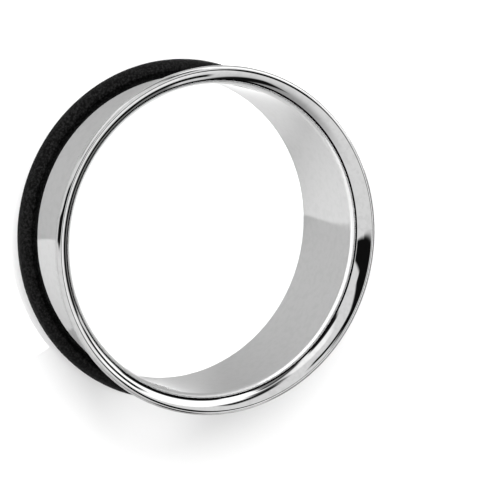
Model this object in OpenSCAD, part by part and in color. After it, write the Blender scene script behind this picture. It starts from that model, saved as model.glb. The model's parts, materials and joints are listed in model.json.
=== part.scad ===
// Single flare flesh tunnel: a thin polished tube with one flared end, held by a rubber O-ring.
// It stands on its plain back end, with the tube's axis along +Z and the flare at the top.
// The origin is the centre of the back end. Millimetres.

/* [Tube] */
// Outside diameter of the straight tube, the size that it is sold by
tube_d = 25.4; // [16:0.1:40]
// Thickness of the wall, the same in the tube and in the flare
wall = 0.65; // [0.5:0.01:0.8]
// Length over all, from the back end to the top of the flare
length = 9.7; // [8:0.1:14]
// Rounding of the outer edge at the back end
back_outer_round = 0.25; // [0.1:0.01:0.3]
// Rounding of the bore's edge at the back end
back_bore_round = 0.1; // [0.05:0.01:0.15]

/* [Flare] */
// How far the flare stands out past the tube, on the radius
flare_out = 0.9; // [0.7:0.01:1.1]
// Radius of the bend that turns the wall outward, to the middle of the wall
bend_r = 1.25; // [1.15:0.01:1.5]

/* [O-ring] */
// Width of the O-ring along the tube
oring_w = 1.5; // [1.3:0.1:1.8]
// How far the O-ring stands out past the tube, on the radius
oring_out = 0.8; // [0.7:0.05:0.9]
// Height of the O-ring's middle above the back end
oring_z = 1.7; // [1.5:0.05:2.4]
// Depth of the flat groove that the O-ring sits in
groove_depth = 0.15; // [0.1:0.01:0.2]
// Gap between the O-ring and the groove
oring_gap = 0.06; // [0.05:0.01:0.08]

/* [Hidden] */
$fn = 180;
tube_r = tube_d / 2;
bore_r = tube_r - wall;

// Centres of the rounded edges at the back end
back_bore_c = [bore_r + back_bore_round, back_bore_round];
back_outer_c = [tube_r - back_outer_round, back_outer_round];

// The flare is the wall bent outward about bend_c, and its lip is a full round at the end of the bend
lip_r = wall / 2;
lip_c = [tube_r + flare_out - lip_r, length - lip_r];
bend_dr = bend_r - flare_out;
bend_c = [lip_c[0] + bend_dr, lip_c[1] - sqrt(pow(bend_r, 2) - pow(bend_dr, 2))];
bend_inner_r = bend_r - lip_r;
bend_outer_r = bend_r + lip_r;

// The O-ring is a round cord pressed flat on its inner side, and the groove is a little wider
oring_r = oring_w / 2;
oring_c = [tube_r + oring_out - oring_r, oring_z];
groove_floor_r = tube_r - groove_depth;
groove_w = oring_w + 2 * oring_gap;
oring_floor_r = groove_floor_r + oring_gap;

module disc_at(centre, radius) {
    translate(centre) circle(radius);
}

// Slice of a disc between spokes, which are points on its arc
module pie(centre, radius, spokes) {
    intersection() {
        disc_at(centre, radius);
        polygon(concat([centre], [for (spoke = spokes) centre + 2 * (spoke - centre)]));
    }
}

// Straight tube wall, from the rounded back end up to where the bend starts
module wall_section() {
    back_bore_start = [bore_r, back_bore_c[1]];
    back_bore_end = [back_bore_c[0], 0];
    back_outer_start = [back_outer_c[0], 0];
    back_outer_end = [tube_r, back_outer_c[1]];
    pie(back_bore_c, back_bore_round, [back_bore_start, back_bore_end]);
    pie(back_outer_c, back_outer_round, [back_outer_start, back_outer_end]);
    polygon([
        back_bore_start, back_bore_c, back_bore_end,
        back_outer_start, back_outer_c, back_outer_end,
        [tube_r, bend_c[1]], [bore_r, bend_c[1]]
    ]);
}

// Bent wall with its round lip. The bend ends on the line through the lip's centre.
module flare_section() {
    bend_start = [bore_r, bend_c[1]];
    bend_end = bend_c + (lip_c - bend_c) * bend_outer_r / bend_r;
    difference() {
        pie(bend_c, bend_outer_r, [bend_start, bend_end]);
        disc_at(bend_c, bend_inner_r);
    }
    disc_at(lip_c, lip_r);
}

module tunnel_section() {
    difference() {
        union() {
            wall_section();
            flare_section();
        }
        translate([groove_floor_r, oring_z - groove_w / 2]) square([2 * groove_depth, groove_w]);
    }
}

module oring_section() {
    intersection() {
        disc_at(oring_c, oring_r);
        translate([oring_floor_r, oring_z - oring_w]) square(2 * oring_w);
    }
}

module tunnel() {
    color("silver") rotate_extrude() tunnel_section();
}

module o_ring() {
    color([0.1, 0.1, 0.1]) rotate_extrude() oring_section();
}

tunnel();
o_ring();
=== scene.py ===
# Single flare flesh tunnel in mirror-polished steel, with the black rubber O-ring that holds it in the ear.
# It lies on its side, standing on the plain back end of the tube. Metres, in the part's own frame.
import json
import math
import bpy
from mathutils import Matrix, Vector, noise


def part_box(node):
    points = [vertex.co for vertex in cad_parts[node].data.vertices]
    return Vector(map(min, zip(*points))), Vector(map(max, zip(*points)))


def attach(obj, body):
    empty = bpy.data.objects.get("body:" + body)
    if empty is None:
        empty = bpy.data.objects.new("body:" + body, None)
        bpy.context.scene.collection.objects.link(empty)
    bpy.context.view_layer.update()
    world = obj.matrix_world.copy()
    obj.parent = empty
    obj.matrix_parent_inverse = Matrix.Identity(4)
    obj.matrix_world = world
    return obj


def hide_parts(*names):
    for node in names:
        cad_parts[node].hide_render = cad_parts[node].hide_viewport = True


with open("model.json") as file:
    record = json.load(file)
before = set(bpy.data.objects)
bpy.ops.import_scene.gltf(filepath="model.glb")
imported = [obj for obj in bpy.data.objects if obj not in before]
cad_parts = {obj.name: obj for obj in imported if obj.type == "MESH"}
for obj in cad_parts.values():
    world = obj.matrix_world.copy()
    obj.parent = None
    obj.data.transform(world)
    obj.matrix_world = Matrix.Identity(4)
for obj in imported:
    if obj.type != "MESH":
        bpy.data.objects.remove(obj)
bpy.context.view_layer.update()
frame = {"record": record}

mm = 0.001
sharpTurn = 40  # degrees; an edge that turns more than this is drawn sharp
mixA = 6  # sockets of a Mix node that mixes two colours
mixB = 7
mixResult = 2


# Small helpers

def hexToLinear(code):  # sRGB hex to the linear colour that the shaders use
    parts = [int(code[i:i + 2], 16) / 255 for i in (1, 3, 5)]
    return [c / 12.92 if c <= 0.04045 else ((c + 0.055) / 1.055) ** 2.4 for c in parts] + [1.0]


# Adds a node with its links, its values and its settings
def addNode(tree, kind, links=None, inputs=None, **settings):
    node = tree.nodes.new(kind)
    for name, value in settings.items():
        setattr(node, name, value)
    for name, value in (inputs or {}).items():
        node.inputs[name].default_value = value
    for name, source in (links or {}).items():
        tree.links.new(source, node.inputs[name])
    return node


def newMaterial(name, piece):
    material = bpy.data.materials.new(name)
    material.use_nodes = True
    material.node_tree.nodes.clear()
    piece.data.materials.append(material)
    return material.node_tree


def addObject(name, data):
    thing = bpy.data.objects.new(name, data)
    bpy.context.scene.collection.objects.link(thing)
    return thing


def addLamp(name, kind, power):  # it lights the paper and the rubber, and the steel doesn't mirror it
    lamp = bpy.data.lights.new(name, kind)
    lamp.energy = power
    lampObject = addObject(name, lamp)
    lampObject.visible_glossy = False
    return lamp, lampObject


def arc(centre, radius, start, end, steps):  # points in the (radius, height) plane, degrees from outward
    turns = [math.radians(start + (end - start) * i / steps) for i in range(steps + 1)]
    return [(centre[0] + radius * math.cos(a), centre[1] + radius * math.sin(a)) for a in turns]


def latheMesh(name, outline, segments, wobble=None):  # turns a closed outline about Z
    verts = []
    faces = []
    count = len(outline)
    for s in range(segments):
        turn = 2 * math.pi * s / segments
        for r, z in outline:
            point = Vector((r * math.cos(turn), r * math.sin(turn), z))
            verts.append(wobble(point, r) if wobble else point)
    for s in range(segments):
        after = (s + 1) % segments
        for p in range(count):
            q = (p + 1) % count
            faces.append((s * count + p, after * count + p, after * count + q, s * count + q))
    mesh = bpy.data.meshes.new(name)
    mesh.from_pydata(verts, [], faces)
    mesh.polygons.foreach_set("use_smooth", [True] * len(faces))
    mesh.set_sharp_from_angle(angle=math.radians(sharpTurn))
    return addObject(name, mesh)


# Sizes that come from the frame
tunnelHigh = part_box("tunnel")[1]
ringLow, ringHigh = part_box("o_ring")
mounts = {mount["name"]: mount for mount in frame["record"]["mounts"]}
print("frame read")


# Steel tunnel: constant wall, bent outward into the flare, with a full round at its lip
tunnel = {
    "boreRadius": mounts["bore"]["dims"]["r_mm"] * mm,
    "tubeRadius": mounts["earlobe_seat"]["dims"]["r_mm"] * mm,
    "flareRadius": tunnelHigh.x,
    "length": tunnelHigh.z,
    "bendRadius": 1.25 * mm,  # to the middle of the wall
    "backBoreRound": 0.1 * mm,
    "backOuterRound": 0.25 * mm,
    "grooveDepth": 0.15 * mm,
    "grooveSide": 0.06 * mm,  # how much wider the groove is than the cord, on each side
    "edgeRound": 0.03 * mm,  # broken edge of the groove
    "landTurn": 60,  # where buffing leaves a hair-wide flat round the lip, degrees from outward
    "landHalf": 8,  # degrees of the lip's round that the flat takes up, to each side
    "landSupport": 0.06,  # share of the flat between its edge and the loop that keeps it flat
    "support": 0.02 * mm,  # loop that keeps a straight stretch flat beside an arc
    "segments": 360,  # round the axis
    "steps": {"backBore": 8, "backOuter": 12, "groove": 4,  # in each arc of the outline
              "outerBend": 28, "lip": 32, "lipTop": 12, "boreBend": 48},
}


def tunnelOutline(t, ringLow, ringHigh):
    steps = t["steps"]
    lipRadius = (t["tubeRadius"] - t["boreRadius"]) / 2
    lip = (t["flareRadius"] - lipRadius, t["length"] - lipRadius)
    across = t["bendRadius"] - (t["flareRadius"] - t["tubeRadius"])
    bend = (lip[0] + across, lip[1] - math.sqrt(t["bendRadius"] ** 2 - across ** 2))
    bendTurn = math.degrees(math.atan2(lip[1] - bend[1], lip[0] - bend[0]))
    borePivot = (t["boreRadius"] + t["backBoreRound"], t["backBoreRound"])
    outerPivot = (t["tubeRadius"] - t["backOuterRound"], t["backOuterRound"])
    grooveLow = ringLow.z - t["grooveSide"]
    grooveHigh = ringHigh.z + t["grooveSide"]
    grooveFloor = t["tubeRadius"] - t["grooveDepth"]
    edge = t["edgeRound"]
    points = arc(borePivot, t["backBoreRound"], 180, 270, steps["backBore"])
    points += arc(outerPivot, t["backOuterRound"], 270, 360, steps["backOuter"])
    points += [(t["tubeRadius"], t["backOuterRound"] + t["support"])]
    points += arc((t["tubeRadius"] - edge, grooveLow - edge), edge, 0, 90, steps["groove"])
    points += [(grooveFloor, grooveLow), (grooveFloor, grooveHigh)]
    points += arc((t["tubeRadius"] - edge, grooveHigh + edge), edge, 270, 360, steps["groove"])
    points += [(t["tubeRadius"], grooveHigh + edge + t["support"])]
    points += [(t["tubeRadius"], bend[1] - t["support"])]
    points += arc(bend, t["bendRadius"] - lipRadius, 180, bendTurn, steps["outerBend"])
    landLow = t["landTurn"] - t["landHalf"]
    landHigh = t["landTurn"] + t["landHalf"]
    lipBelow = arc(lip, lipRadius, bendTurn - 180, landLow, steps["lip"])[1:]
    lipAbove = arc(lip, lipRadius, landHigh, bendTurn, steps["lipTop"])
    points += lipBelow
    for share in (t["landSupport"], 1 - t["landSupport"]):
        points.append(tuple(a + (b - a) * share for a, b in zip(lipBelow[-1], lipAbove[0])))
    points += lipAbove
    points += arc(bend, t["bendRadius"] + lipRadius, bendTurn, 180, steps["boreBend"])[1:]
    points += [(t["boreRadius"], bend[1] - t["support"])]
    points += [(t["boreRadius"], t["backBoreRound"] + t["support"])]
    return points


tube = latheMesh("steelTunnel", tunnelOutline(tunnel, ringLow, ringHigh), tunnel["segments"])
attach(tube, "root")
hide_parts("tunnel")
print("steel tunnel made")


# Rubber O-ring: round cord pressed flat on the groove's floor, with the mould line round its outside
ring = {
    "innerRadius": tunnel["tubeRadius"] - tunnel["grooveDepth"],
    "cordRadius": (ringHigh.z - ringLow.z) / 2,
    "height": (ringHigh.z + ringLow.z) / 2,
    "outerRadius": ringHigh.x,
    "flatEdge": 0.05 * mm,  # rounding beside the flat
    "flatCorner": (0.3, 0.2),  # the rounding's middle: off the flat and in from its end, in flatEdges
    "mouldLine": 0.012 * mm,  # how far the flash stands out
    "mouldWidth": 0.05 * mm,
    "unevenness": 0.012 * mm,
    "unevenLength": 2.2 * mm,
    "unevenReach": 0.3 * mm,  # how far outside the tube the cord is before it is fully uneven
    "unevenHeight": 0.5,  # share of the unevenness that moves the cord along the tube
    "segments": 480,  # round the axis
    "steps": 56,  # round the cord
}


def ringOutline(r):
    centre = (r["outerRadius"] - r["cordRadius"], r["height"])
    flatTurn = math.degrees(math.acos((centre[0] - r["innerRadius"] - r["flatEdge"]) / r["cordRadius"]))
    points = []
    for x, z in arc(centre, r["cordRadius"], flatTurn - 180, 180 - flatTurn, r["steps"]):
        flash = r["mouldLine"] * math.exp(-((z - r["height"]) / r["mouldWidth"]) ** 2) if x > centre[0] else 0
        points.append((x - r["mouldLine"] + flash, z))
    reach = points[-1][1] - r["height"]
    off, along = (share * r["flatEdge"] for share in r["flatCorner"])
    points += [(r["innerRadius"] + off, r["height"] + reach - along)]
    points += [(r["innerRadius"], r["height"] + reach - r["flatEdge"])]
    points += [(r["innerRadius"], r["height"] - reach + r["flatEdge"])]
    points += [(r["innerRadius"] + off, r["height"] - reach + along)]
    return points


def ringWobble(point, r):  # the cord is a little uneven, except where it lies on the steel
    free = min(1.0, max(0.0, (r - tunnel["tubeRadius"]) / ring["unevenReach"]))
    swell = noise.noise(point / ring["unevenLength"]) * ring["unevenness"] * free
    outward = Vector((point.x, point.y, 0)).normalized()
    return point + outward * min(swell, 0.0) + Vector((0, 0, ring["unevenHeight"] * swell))


band = latheMesh("rubberRing", ringOutline(ring), ring["segments"], ringWobble)
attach(band, "root")
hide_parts("o_ring")
print("rubber ring made")


# 316L surgical steel, turned and then buffed to a mirror: clear reflections, slightly blurred in faint
# hairlines round the tube, and a faint uneven film that greys them in soft patches
steel = {
    "colour": "#B8B8B8",
    "edgeTint": "#CBCBCB",  # greys glancing reflections
    "filmColour": "#B3B3B3",
    "filmPatch": 0.5,  # mm
    "filmNoise": (0.45, 0.65),  # from bare steel to full film
    "roughness": 0.01,
    "hairlineRoughness": 0.03,
    "hairline": 0.08,  # mm; real ones are near 0.01 mm, too fine to show
    "hairlineLength": 6.0,  # mm
    "hairlineNoise": (0.45, 0.75),  # from bare steel to full hairline
    "hairlineDepth": 0.00001,  # mm; a mirror finish is this even
    "hairlineBump": 0.15,  # share of that depth that shows
}

tree = newMaterial("mirrorPolishedSteel", tube)
place = addNode(tree, "ShaderNodeTexCoord").outputs["Object"]
split = addNode(tree, "ShaderNodeSeparateXYZ", {"Vector": place})
planar = addNode(tree, "ShaderNodeCombineXYZ", {"X": split.outputs["X"], "Y": split.outputs["Y"]})
radius = addNode(tree, "ShaderNodeVectorMath", {0: planar.outputs["Vector"]}, operation="LENGTH")
fine = 1 / (steel["hairline"] * mm)
slow = 1 / (steel["hairlineLength"] * mm)
stretch = addNode(tree, "ShaderNodeMapping", {"Vector": place}, {"Scale": (slow, slow, fine)})
depth = addNode(tree, "ShaderNodeMath", {0: radius.outputs["Value"]}, {1: fine}, operation="MULTIPLY")
hair = addNode(tree, "ShaderNodeTexNoise",
               {"Vector": stretch.outputs["Vector"], "W": depth.outputs["Value"]},
               {"Scale": 1.0, "Detail": 3.0, "Roughness": 0.6}, noise_dimensions="4D")
rough = addNode(tree, "ShaderNodeMapRange", {"Value": hair.outputs["Fac"]},
                {"From Min": steel["hairlineNoise"][0], "From Max": steel["hairlineNoise"][1],
                 "To Min": steel["roughness"], "To Max": steel["hairlineRoughness"]})
film = addNode(tree, "ShaderNodeTexNoise", {"Vector": place},
               {"Scale": 1 / (steel["filmPatch"] * mm), "Detail": 4.0, "Roughness": 0.55})
filmShare = addNode(tree, "ShaderNodeMapRange", {"Value": film.outputs["Fac"]},
                    {"From Min": steel["filmNoise"][0], "From Max": steel["filmNoise"][1]})
colour = addNode(tree, "ShaderNodeMix", {"Factor": filmShare.outputs["Result"]},
                 {mixA: hexToLinear(steel["colour"]), mixB: hexToLinear(steel["filmColour"])},
                 data_type="RGBA")
bump = addNode(tree, "ShaderNodeBump", {"Height": hair.outputs["Fac"]},
               {"Strength": steel["hairlineBump"], "Distance": steel["hairlineDepth"] * mm})
shader = addNode(tree, "ShaderNodeBsdfPrincipled",
                 {"Base Color": colour.outputs[mixResult], "Roughness": rough.outputs["Result"],
                  "Normal": bump.outputs["Normal"]},
                 {"Metallic": 1.0, "Specular Tint": hexToLinear(steel["edgeTint"])})
addNode(tree, "ShaderNodeOutputMaterial", {"Surface": shader.outputs["BSDF"]})
print("steel polished")


# Moulded nitrile rubber: matte black with a fine grain, and a slightly greyer bloom in patches
rubber = {
    "colour": "#050505",
    "bloomColour": "#262626",
    "bloomPatch": 0.2,  # mm
    "bloomNoise": (0.45, 0.7),  # from bare rubber to full bloom
    "roughness": 0.55,
    "specularLevel": 0.05,  # far below the usual 0.5, because the bloom leaves hardly any gloss
    "grain": 0.18,  # mm; real grain is near 0.03 mm, too fine to show
    "grainDepth": 0.05,  # mm
    "grainBump": 0.8,  # share of that depth that shows
}

tree = newMaterial("mouldedRubber", band)
place = addNode(tree, "ShaderNodeTexCoord").outputs["Object"]
grain = addNode(tree, "ShaderNodeTexNoise", {"Vector": place},
                {"Scale": 1 / (rubber["grain"] * mm), "Detail": 3.0, "Roughness": 0.6})
bloom = addNode(tree, "ShaderNodeTexNoise", {"Vector": place},
                {"Scale": 1 / (rubber["bloomPatch"] * mm), "Detail": 5.0, "Roughness": 0.7})
bloomShare = addNode(tree, "ShaderNodeMapRange", {"Value": bloom.outputs["Fac"]},
                     {"From Min": rubber["bloomNoise"][0], "From Max": rubber["bloomNoise"][1]})
colour = addNode(tree, "ShaderNodeMix", {"Factor": bloomShare.outputs["Result"]},
                 {mixA: hexToLinear(rubber["colour"]), mixB: hexToLinear(rubber["bloomColour"])},
                 data_type="RGBA")
bump = addNode(tree, "ShaderNodeBump", {"Height": grain.outputs["Fac"]},
               {"Strength": rubber["grainBump"], "Distance": rubber["grainDepth"] * mm})
shader = addNode(tree, "ShaderNodeBsdfPrincipled",
                 {"Base Color": colour.outputs[mixResult], "Normal": bump.outputs["Normal"]},
                 {"Metallic": 0.0, "Roughness": rubber["roughness"],
                  "Specular IOR Level": rubber["specularLevel"]})
addNode(tree, "ShaderNodeOutputMaterial", {"Surface": shader.outputs["BSDF"]})
print("rubber moulded")


# Camera: the photo's angle to the ring, turned so that the tube's axis points right and a little down
camera = {
    "elevation": 63.36,  # degrees above the floor
    "roll": 105.06,  # degrees
    "focal": 300.0,  # mm
    "sensor": 36.0,  # mm
    "clip": (0.001, 10),  # nearest and farthest that it sees, in metres
    "distance": 23.318,  # this and the next two are in flare radii
    "right": 0.4242,
    "up": -0.0750,
}
tilt = math.radians(camera["elevation"])
back = Vector((0, -math.cos(tilt), math.sin(tilt)))
levelRight = Vector((0, 0, 1)).cross(back).normalized()
levelUp = back.cross(levelRight)
roll = math.radians(camera["roll"])
right = math.cos(roll) * levelRight + math.sin(roll) * levelUp  # right, up and back are the picture's axes
up = -math.sin(roll) * levelRight + math.cos(roll) * levelUp
eye = tunnel["flareRadius"] * (camera["right"] * right + camera["up"] * up + camera["distance"] * back)
cameraData = bpy.data.cameras.new("camera")
cameraData.lens = camera["focal"]
cameraData.sensor_width = camera["sensor"]
cameraData.clip_start, cameraData.clip_end = camera["clip"]
cameraObject = addObject("camera", cameraData)
cameraObject.matrix_world = Matrix.Translation(eye) @ Matrix((right, up, back)).transposed().to_4x4()
bpy.context.scene.camera = cameraObject
print("camera placed")


# Floor: plain white paper. Its later mirror images are painted dark: a painted reflection that gives the
# bore's mouth its black line.
stage = {
    "size": 3.0,  # m
    "colour": "#EBEBEB",
    "roughness": 0.9,  # paper without gloss
    "paintedReflectionShade": "#202020",  # painted shade, in its later mirror images
    "farFrom": 2.5,  # later than this many, so from the third on
}
half = stage["size"] / 2
floorMesh = bpy.data.meshes.new("floor")
floorCorners = [(-half, -half, 0), (half, -half, 0), (half, half, 0), (-half, half, 0)]
floorMesh.from_pydata(floorCorners, [], [(0, 1, 2, 3)])
floor = addObject("floor", floorMesh)
tree = newMaterial("whitePaper", floor)
path = addNode(tree, "ShaderNodeLightPath")
# Painted reflection: from the third mirror image on, the paper's colour turns to the painted shade.
paintedShadeMask = addNode(tree, "ShaderNodeMath", {0: path.outputs["Glossy Depth"]}, {1: stage["farFrom"]},
                   operation="GREATER_THAN")
paper = addNode(tree, "ShaderNodeMix", {"Factor": paintedShadeMask.outputs[0]},
                {mixA: hexToLinear(stage["colour"]), mixB: hexToLinear(stage["paintedReflectionShade"])},
                data_type="RGBA")
shader = addNode(tree, "ShaderNodeBsdfPrincipled", {"Base Color": paper.outputs[mixResult]},
                 {"Roughness": stage["roughness"], "Specular IOR Level": 0.0})
addNode(tree, "ShaderNodeOutputMaterial", {"Surface": shader.outputs["BSDF"]})
print("floor laid")


# Studio: soft boxes and dark flags round the ring, which the steel mirrors. The paper and the rubber are lit
# by a plain pale fill and by the lamps.
studio = {
    "surround": 1.35,  # the mirrored wall, apart from the panels
    "backdrop": 1.0,  # what the camera sees past the floor
    "fill": 0.6,  # light on the paper and the rubber, from the front
    "fillLeast": 0.08,  # the same from behind
    "farLevel": 0.03,  # the surround and its panels in their later mirror images
    "farFrom": 1.5,  # later than this many, so from the second on
    "leastAhead": 0.01,  # how far ahead a direction has to point for a panel to show there
    "beamHeight": 0.5,  # m
    "beamSource": 0.0001,  # m; small, so that the beams' shadows are crisp
}

# Side and rise are degrees to the right of the camera and above, in a frame that is turned with the picture.
# Wide, high, turn and the edge's softness are degrees too. Later panels lie over earlier ones.
panels = [
    dict(name="underside", side=0, rise=-90, wide=50, high=50, turn=0, soft=40, level=0.6),
    dict(name="ceiling", side=0, rise=90, wide=35, high=35, turn=0, soft=10, level=0.45),
    dict(name="sideBounce", side=70, rise=-15, wide=30, high=50, turn=-10, soft=10, level=1.75),
    dict(name="sideBox", side=80, rise=45, wide=40, high=70, turn=15, soft=5, level=2.4),
    dict(name="cornerBox", side=-30, rise=50, wide=40, high=30, turn=-10, soft=10, level=1.9),
    dict(name="boxShade", side=25, rise=55, wide=20, high=10, turn=-10, soft=8, level=0.15),
    dict(name="boxEdge", side=39, rise=44, wide=28, high=9, turn=-38, soft=5, level=0.02),
    dict(name="ceilingGap", side=-5, rise=70, wide=30, high=8, turn=0, soft=6, level=0.08),
    dict(name="cornerFlag", side=-50, rise=45, wide=15, high=25, turn=0, soft=5, level=0.02),
    dict(name="sideWall", side=115, rise=-20, wide=25, high=55, turn=0, soft=5, level=0.33),
    dict(name="rearFlag", side=113, rise=48, wide=22, high=42, turn=0, soft=4, level=0.01),
    dict(name="sideFlagTop", side=88, rise=16, wide=25, high=12, turn=-40, soft=4, level=0.01),
    dict(name="sideFlag", side=100, rise=-15, wide=15, high=45, turn=0, soft=3, level=0.01),
    dict(name="sideFlagLow", side=94, rise=-40, wide=14, high=30, turn=-25, soft=3, level=0.01),
    dict(name="lowFlag", side=105, rise=-70, wide=40, high=15, turn=20, soft=5, level=0.01),
    dict(name="cameraFlag", side=4, rise=-3, wide=48, high=22, turn=0, soft=4, level=0.01),
    dict(name="archFlag", side=17, rise=13, wide=10, high=18, turn=-30, soft=3, level=0.01),
    dict(name="horizonFlag", side=-18, rise=-5, wide=84, high=15, turn=-4, soft=3, level=0.01),
    dict(name="stand", side=54, rise=-13, wide=13, high=44, turn=-15, soft=4, level=0.01),
]

world = bpy.data.worlds.new("studio")
bpy.context.scene.world = world
world.use_nodes = True
tree = world.node_tree
tree.nodes.clear()
look = addNode(tree, "ShaderNodeTexCoord").outputs["Generated"]
surround = addNode(tree, "ShaderNodeValue")
surround.outputs[0].default_value = studio["surround"]
glow = surround.outputs[0]
for panel in panels:
    side = math.radians(panel["side"])
    rise = math.radians(panel["rise"])
    turn = math.radians(panel["turn"])
    toward = math.cos(rise) * (math.sin(side) * right + math.cos(side) * back) + math.sin(rise) * up
    across = math.cos(side) * right - math.sin(side) * back
    above = toward.cross(across)
    wideAxis = math.cos(turn) * across + math.sin(turn) * above
    highAxis = math.cos(turn) * above - math.sin(turn) * across
    ahead = addNode(tree, "ShaderNodeVectorMath", {0: look}, {1: toward},
                    operation="DOT_PRODUCT").outputs["Value"]
    safe = addNode(tree, "ShaderNodeMath", {0: ahead}, {1: studio["leastAhead"]},
                   operation="MAXIMUM").outputs[0]
    mask = addNode(tree, "ShaderNodeMath", {0: ahead}, {1: studio["leastAhead"]},
                   operation="GREATER_THAN").outputs[0]
    for axis, size in ((wideAxis, panel["wide"]), (highAxis, panel["high"])):
        along = addNode(tree, "ShaderNodeVectorMath", {0: look}, {1: axis}, operation="DOT_PRODUCT")
        angle = addNode(tree, "ShaderNodeMath", {0: along.outputs["Value"], 1: safe}, operation="ARCTAN2")
        distance = addNode(tree, "ShaderNodeMath", {0: angle.outputs[0]}, operation="ABSOLUTE")
        edge = addNode(tree, "ShaderNodeMapRange", {"Value": distance.outputs[0]},
                       {"From Min": math.radians((size + panel["soft"]) / 2),
                        "From Max": math.radians((size - panel["soft"]) / 2)},
                       interpolation_type="SMOOTHSTEP")
        both = addNode(tree, "ShaderNodeMath", {0: mask, 1: edge.outputs["Result"]}, operation="MULTIPLY")
        mask = both.outputs[0]
    blend = addNode(tree, "ShaderNodeMix", {"Factor": mask, "A": glow}, {"B": panel["level"]},
                    label=panel["name"])
    glow = blend.outputs["Result"]

ray = addNode(tree, "ShaderNodeLightPath")
front = addNode(tree, "ShaderNodeVectorMath", {0: look}, {1: (0, -studio["fill"], 0)},
                operation="DOT_PRODUCT")
fill = addNode(tree, "ShaderNodeMath", {0: front.outputs["Value"]}, {1: studio["fillLeast"]},
               operation="MAXIMUM")
farView = addNode(tree, "ShaderNodeMath", {0: ray.outputs["Glossy Depth"]}, {1: studio["farFrom"]},
                  operation="GREATER_THAN")
mirrored = addNode(tree, "ShaderNodeMix", {"Factor": farView.outputs[0], "A": glow},
                   {"B": studio["farLevel"]})
soft = addNode(tree, "ShaderNodeMix",
               {"Factor": ray.outputs["Is Diffuse Ray"], "A": mirrored.outputs["Result"],
                "B": fill.outputs[0]})
seen = addNode(tree, "ShaderNodeMix", {"Factor": ray.outputs["Is Camera Ray"], "A": soft.outputs["Result"]},
               {"B": studio["backdrop"]})
sky = addNode(tree, "ShaderNodeBackground", {"Strength": seen.outputs["Result"]}, {"Color": (1, 1, 1, 1)})
addNode(tree, "ShaderNodeOutputWorld", {"Surface": sky.outputs["Background"]})
print("surround drawn")

# Soft light from above and a firmer key. The slant points at the lamp, and the spread is in degrees.
suns = [
    dict(name="overhead", slant=(-0.4, -0.36, 1), spread=33, power=2.0),
    dict(name="key", slant=(0, -0.5, 1), spread=6, power=2.15),
]
for sun in suns:
    lamp, lampObject = addLamp(sun["name"], "SUN", sun["power"])
    lamp.angle = math.radians(sun["spread"])
    lampObject.rotation_euler = Vector(sun["slant"]).to_track_quat("Z", "Y").to_euler()

# Narrow beams from overhead brighten the paper where the bore and the tube mirror it. Each lights an ellipse,
# with its place and its half axes in mm, and its turn in degrees.
beams = [
    dict(name="insideBeam", x=0, y=-3.5, long=12.4, short=8.5, turn=0, power=10, blend=0.02),
    dict(name="boreBeam", x=-8, y=5.4, long=14, short=7, turn=-55, power=5.8, blend=0.02),
    dict(name="topBeam", x=-12, y=3, long=7, short=7, turn=0, power=8, blend=1),
    dict(name="lowBeam", x=12, y=3, long=6, short=6, turn=0, power=3, blend=1),
    dict(name="sideBeam", x=9.5, y=-13.6, long=8, short=5, turn=104, power=6.5, blend=0.02),
]
for beam in beams:
    lamp, lampObject = addLamp(beam["name"], "SPOT", beam["power"])
    lamp.shadow_soft_size = studio["beamSource"]
    lamp.spot_blend = beam["blend"]
    lamp.spot_size = 2 * math.atan(beam["long"] * mm / studio["beamHeight"])
    lampObject.location = (beam["x"] * mm, beam["y"] * mm, studio["beamHeight"])
    lampObject.rotation_euler = (0, 0, math.radians(beam["turn"]))
    lampObject.scale = (1, beam["short"] / beam["long"], 1)

bpy.context.scene.view_settings.view_transform = "Standard"
print("studio lit")
